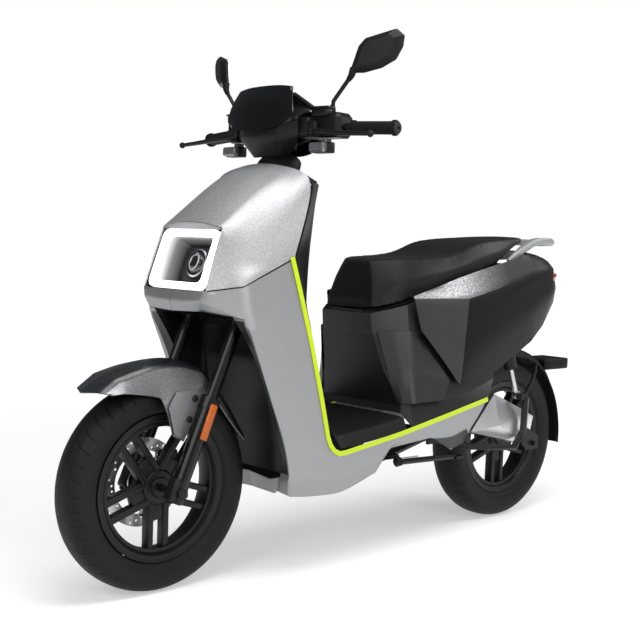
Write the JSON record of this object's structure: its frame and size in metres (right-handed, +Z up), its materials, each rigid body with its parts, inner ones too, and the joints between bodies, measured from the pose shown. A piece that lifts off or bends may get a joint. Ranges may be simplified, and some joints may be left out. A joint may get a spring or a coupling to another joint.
{
  "type": "moped scooter",
  "caption": "Step-through electric moped scooter with twin front fork, swingarm, cast wheels, angular bodywork, stepped two-seat saddle and folded side stand.",
  "frame": {"origin": "on the ground under the middle of the whole length and width", "axes": "+X forward along the direction of travel, +Y to the rider's left, +Z up"},
  "size_m": [1.92, 0.755, 1.38],
  "materials": {
    "silver_paint": "silver with fine metal flake, satin below",
    "black_plastic": "moulded, satin",
    "dark_grey_plastic": "moulded, satin",
    "satin_black_paint": "satin black",
    "seat_leather": "black vinyl with fine grain",
    "tyre_rubber": "matte, with curved sipes",
    "rim_paint": "cast, black coat",
    "steel": "brushed",
    "black_steel": "black coated",
    "cast_aluminium": "cast, satin",
    "grip_rubber": "ribbed",
    "light_ring": "white light guide",
    "clear_lens": "clear, gloss",
    "red_lens": "red, gloss",
    "battery_case": "moulded case",
    "yellow_trim": "fluorescent yellow-green trim strip",
    "amber_reflector": "prismatic amber",
    "mirror_glass": "silvered glass"
  },
  "bodies": {
    "chassis": {"main_frame": "black_steel", "front_cowl": "silver_paint", "fairing_left": "silver_paint", "fairing_right": "silver_paint", "inner_leg_shield": "black_plastic", "floorboard": "black_plastic", "splash_guard": "black_plastic", "headlight_ring": "light_ring", "headlight_housing": "black_plastic", "headlight_lens": "clear_lens", "seat_box": "black_plastic", "side_panel_left": "dark_grey_plastic", "side_panel_right": "dark_grey_plastic", "tail_fairing_left": "satin_black_paint", "tail_fairing_right": "satin_black_paint", "tail_light": "red_lens", "grab_rail": "cast_aluminium", "storage_bucket": "dark_grey_plastic", "battery_pack": "battery_case", "motor_controller": "cast_aluminium"},
    "seat": {"seat_base": "black_plastic", "seat_cushion": "seat_leather"},
    "key": {"ignition_key": "steel"},
    "steering": {"fork_yoke": "black_steel", "handlebar": "black_steel", "handlebar_cover": "black_plastic", "visor": "satin_black_paint", "instrument_display": "dark_grey_plastic", "grip_left": "grip_rubber", "switch_housing_left": "black_plastic", "switch_housing_right": "black_plastic", "turn_signal_left": "clear_lens", "turn_signal_right": "clear_lens", "mirror_stem_left": "black_steel", "mirror_stem_right": "black_steel"},
    "mirror_left": {"mirror_head_left": "black_plastic"},
    "mirror_right": {"mirror_head_right": "black_plastic"},
    "lever_left": {"brake_lever_left": "black_steel"},
    "lever_right": {"brake_lever_right": "black_steel"},
    "throttle": {"throttle_grip": "grip_rubber"},
    "horn": {"horn_button": "dark_grey_plastic"},
    "fork_lower": {"fork_leg_left": "satin_black_paint", "fork_leg_right": "satin_black_paint", "front_fender": "satin_black_paint", "front_axle": "steel", "front_caliper": "black_steel"},
    "front_wheel": {"front_rim": "rim_paint", "front_tyre": "tyre_rubber", "front_brake_disc": "steel"},
    "swingarm": {"swingarm": "satin_black_paint", "motor_housing": "cast_aluminium", "rear_hugger": "black_plastic", "rear_axle": "steel"},
    "rear_wheel": {"rear_rim": "rim_paint", "rear_tyre": "tyre_rubber"},
    "shock_body_left": {"shock_upper_left": "satin_black_paint"},
    "shock_rod_left": {"shock_lower_left": "steel"},
    "shock_body_right": {"shock_upper_right": "satin_black_paint"},
    "shock_rod_right": {"shock_lower_right": "steel"},
    "stand": {"side_stand": "black_steel"}
  },
  "joints": [
    {"name": "steering_turn", "type": "hinge", "parent": "chassis", "child": "steering", "pos_m": [0.43391, 0, 0.8], "axis": [-0.3907, 0, 0.9205], "range_deg": [-38, 38]},
    {"name": "fork_slide", "type": "slide", "parent": "steering", "child": "fork_lower", "axis": [-0.3907, 0, 0.9205], "range_m": [0, 0.06], "stiffness_N_per_m": 9000, "springref_m": -0.07},
    {"name": "front_wheel_spin", "type": "hinge", "parent": "fork_lower", "child": "front_wheel", "pos_m": [0.702, 0, 0.258], "axis": [0, 1, 0], "continuous": true},
    {"name": "swingarm_lift", "type": "hinge", "parent": "chassis", "child": "swingarm", "pos_m": [-0.27, 0, 0.3], "axis": [0, 1, 0], "range_deg": [0, 9], "stiffness_Nm_per_rad": 800, "springref_deg": -28.65},
    {"name": "rear_wheel_spin", "type": "hinge", "parent": "swingarm", "child": "rear_wheel", "pos_m": [-0.634, 0, 0.258], "axis": [0, 1, 0], "continuous": true},
    {"name": "shock_tilt_left", "type": "hinge", "parent": "chassis", "child": "shock_body_left", "pos_m": [-0.459, 0.135, 0.672], "axis": [0, 1, 0], "range_deg": [-2, 2]},
    {"name": "shock_slide_left", "type": "slide", "parent": "shock_body_left", "child": "shock_rod_left", "axis": [0.3818, 0, 0.9242], "range_m": [-0.002, 0.056]},
    {"name": "brake_left", "type": "hinge", "parent": "steering", "child": "lever_left", "pos_m": [0.355, 0.15, 1.138], "axis": [0, 0, 1], "range_deg": [0, 15], "stiffness_Nm_per_rad": 2, "springref_deg": -11.46},
    {"name": "mirror_turn_left", "type": "hinge", "parent": "steering", "child": "mirror_left", "pos_m": [0.3175, 0.245, 1.275], "axis": [0, 0, 1], "range_deg": [-15, 15]},
    {"name": "shock_tilt_right", "type": "hinge", "parent": "chassis", "child": "shock_body_right", "pos_m": [-0.459, -0.135, 0.672], "axis": [0, 1, 0], "range_deg": [-2, 2]},
    {"name": "shock_slide_right", "type": "slide", "parent": "shock_body_right", "child": "shock_rod_right", "axis": [0.3818, 0, 0.9242], "range_m": [-0.002, 0.056]},
    {"name": "brake_right", "type": "hinge", "parent": "steering", "child": "lever_right", "pos_m": [0.355, -0.15, 1.138], "axis": [0, 0, -1], "range_deg": [0, 15], "stiffness_Nm_per_rad": 2, "springref_deg": -11.46},
    {"name": "mirror_turn_right", "type": "hinge", "parent": "steering", "child": "mirror_right", "pos_m": [0.3175, -0.245, 1.275], "axis": [0, 0, 1], "range_deg": [-15, 15]},
    {"name": "seat_open", "type": "hinge", "parent": "chassis", "child": "seat", "pos_m": [0.058, 0, 0.6805], "axis": [0, 1, 0], "range_deg": [0, 75]},
    {"name": "stand_swing", "type": "hinge", "parent": "chassis", "child": "stand", "pos_m": [-0.02, 0.146, 0.262], "axis": [0.104, -0.9152, -0.3894], "range_deg": [0, 95]},
    {"name": "throttle_turn", "type": "hinge", "parent": "steering", "child": "throttle", "pos_m": [0.3, -0.215, 1.15], "axis": [-0.1643, -0.9858, -0.0336], "range_deg": [0, 70], "stiffness_Nm_per_rad": 0.3, "springref_deg": -11.46},
    {"name": "horn_press", "type": "slide", "parent": "steering", "child": "horn", "axis": [1, 0, 0], "range_m": [0, 0.002], "stiffness_N_per_m": 400, "springref_m": -0.001},
    {"name": "key_turn", "type": "hinge", "parent": "chassis", "child": "key", "pos_m": [0.3, -0.062, 0.905], "axis": [-1, 0, 0], "range_deg": [0, 90]}
  ],
  "couplings": [
    {"joint": "shock_tilt_left", "follows": "swingarm_lift", "ratio": -0.0707},
    {"joint": "shock_slide_left", "follows": "swingarm_lift", "m_per_rad": 0.3165},
    {"joint": "shock_tilt_right", "follows": "swingarm_lift", "ratio": -0.0707},
    {"joint": "shock_slide_right", "follows": "swingarm_lift", "m_per_rad": 0.3165}
  ]
}
